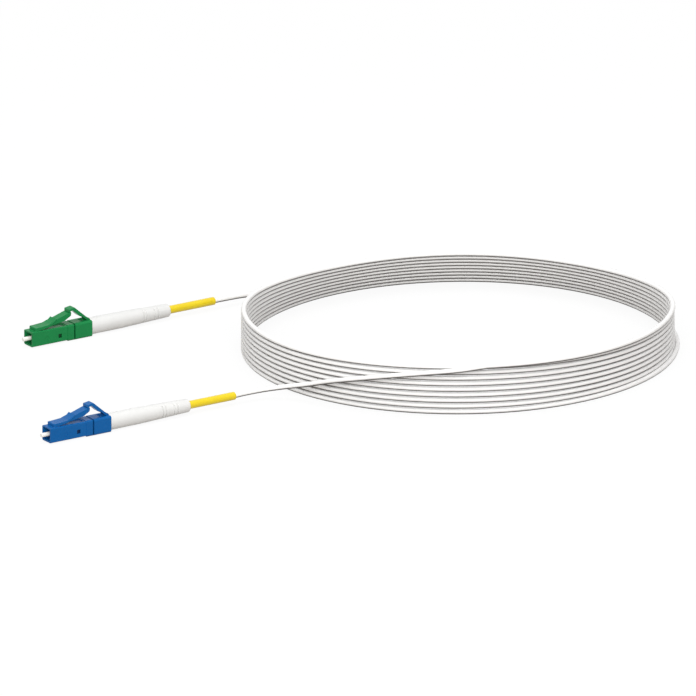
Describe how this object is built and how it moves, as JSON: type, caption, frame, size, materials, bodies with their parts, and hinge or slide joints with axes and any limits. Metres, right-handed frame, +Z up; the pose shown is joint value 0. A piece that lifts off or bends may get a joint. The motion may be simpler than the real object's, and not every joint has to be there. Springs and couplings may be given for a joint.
{
  "type": "fiber optic patch cord",
  "caption": "Fiber optic patch cord: a thin white cable coiled in a ring, with a green and a blue LC plug, each with a press latch, a white boot and a yellow jacket sleeve.",
  "frame": {"origin": "on the floor, at the centre of the box around the two plugs", "axes": "+X along both plugs from ferrule to cable, +Z up, +Y from the blue plug towards the green one"},
  "size_m": [0.2155, 0.1373, 0.0161],
  "materials": {
    "green_plastic": "moulded, satin gloss",
    "blue_plastic": "moulded, satin gloss",
    "zirconia": "polished white ceramic",
    "plated_metal": "nickel plated",
    "spring_wire": "drawn wire",
    "aramid": "yarn",
    "boot_plastic": "matt elastomer",
    "yellow_jacket": "satin",
    "glass_fibre": "coated glass",
    "white_cable": "satin"
  },
  "bodies": {
    "cord": {"green_front_housing": "green_plastic", "green_rear_clip": "green_plastic", "green_spring": "spring_wire", "green_backbone": "green_plastic", "green_aramid_yarn": "aramid", "green_crimp_sleeve": "plated_metal", "green_boot": "boot_plastic", "green_jacket_sleeve": "yellow_jacket", "green_cable_end": "white_cable", "blue_front_housing": "blue_plastic", "blue_rear_clip": "blue_plastic", "blue_spring": "spring_wire", "blue_backbone": "blue_plastic", "blue_aramid_yarn": "aramid", "blue_crimp_sleeve": "plated_metal", "blue_boot": "boot_plastic", "blue_jacket_sleeve": "yellow_jacket", "blue_cable_end": "white_cable", "cable_coil": "white_cable", "green_lead": "white_cable", "blue_lead": "white_cable"},
    "green_latch": {"green_latch": "green_plastic"},
    "green_trigger": {"green_trigger": "green_plastic"},
    "green_ferrule": {"green_ferrule": "zirconia", "green_ferrule_flange": "plated_metal", "green_fibre": "glass_fibre"},
    "blue_latch": {"blue_latch": "blue_plastic"},
    "blue_trigger": {"blue_trigger": "blue_plastic"},
    "blue_ferrule": {"blue_ferrule": "zirconia", "blue_ferrule_flange": "plated_metal", "blue_fibre": "glass_fibre"}
  },
  "joints": [
    {"name": "green_trigger_press", "type": "hinge", "parent": "cord", "child": "green_trigger", "pos_m": [0.0106, 0.0394, 0.0052], "axis": [0, -1, 0], "range_deg": [0, 10], "stiffness_Nm_per_rad": 0.03},
    {"name": "green_latch_press", "type": "hinge", "parent": "cord", "child": "green_latch", "pos_m": [-0.0065, 0.0394, 0.0053], "axis": [0, 1, 0], "range_deg": [0, 6], "stiffness_Nm_per_rad": 0.00001, "springref_deg": -17.19},
    {"name": "green_ferrule_push", "type": "slide", "parent": "cord", "child": "green_ferrule", "axis": [1, 0, 0], "range_m": [0, 0.0012], "stiffness_N_per_m": 800, "deforming": ["green_spring"]},
    {"name": "blue_trigger_press", "type": "hinge", "parent": "cord", "child": "blue_trigger", "pos_m": [-0.0338, -0.0394, 0.0052], "axis": [0, -1, 0], "range_deg": [0, 10], "stiffness_Nm_per_rad": 0.03},
    {"name": "blue_latch_press", "type": "hinge", "parent": "cord", "child": "blue_latch", "pos_m": [-0.0509, -0.0394, 0.0053], "axis": [0, 1, 0], "range_deg": [0, 6], "stiffness_Nm_per_rad": 0.00001, "springref_deg": -17.19},
    {"name": "blue_ferrule_push", "type": "slide", "parent": "cord", "child": "blue_ferrule", "axis": [1, 0, 0], "range_m": [0, 0.0012], "stiffness_N_per_m": 800, "deforming": ["blue_spring"]}
  ],
  "couplings": [
    {"joint": "green_latch_press", "follows": "green_trigger_press", "ratio": 0.6},
    {"joint": "blue_latch_press", "follows": "blue_trigger_press", "ratio": 0.6}
  ]
}
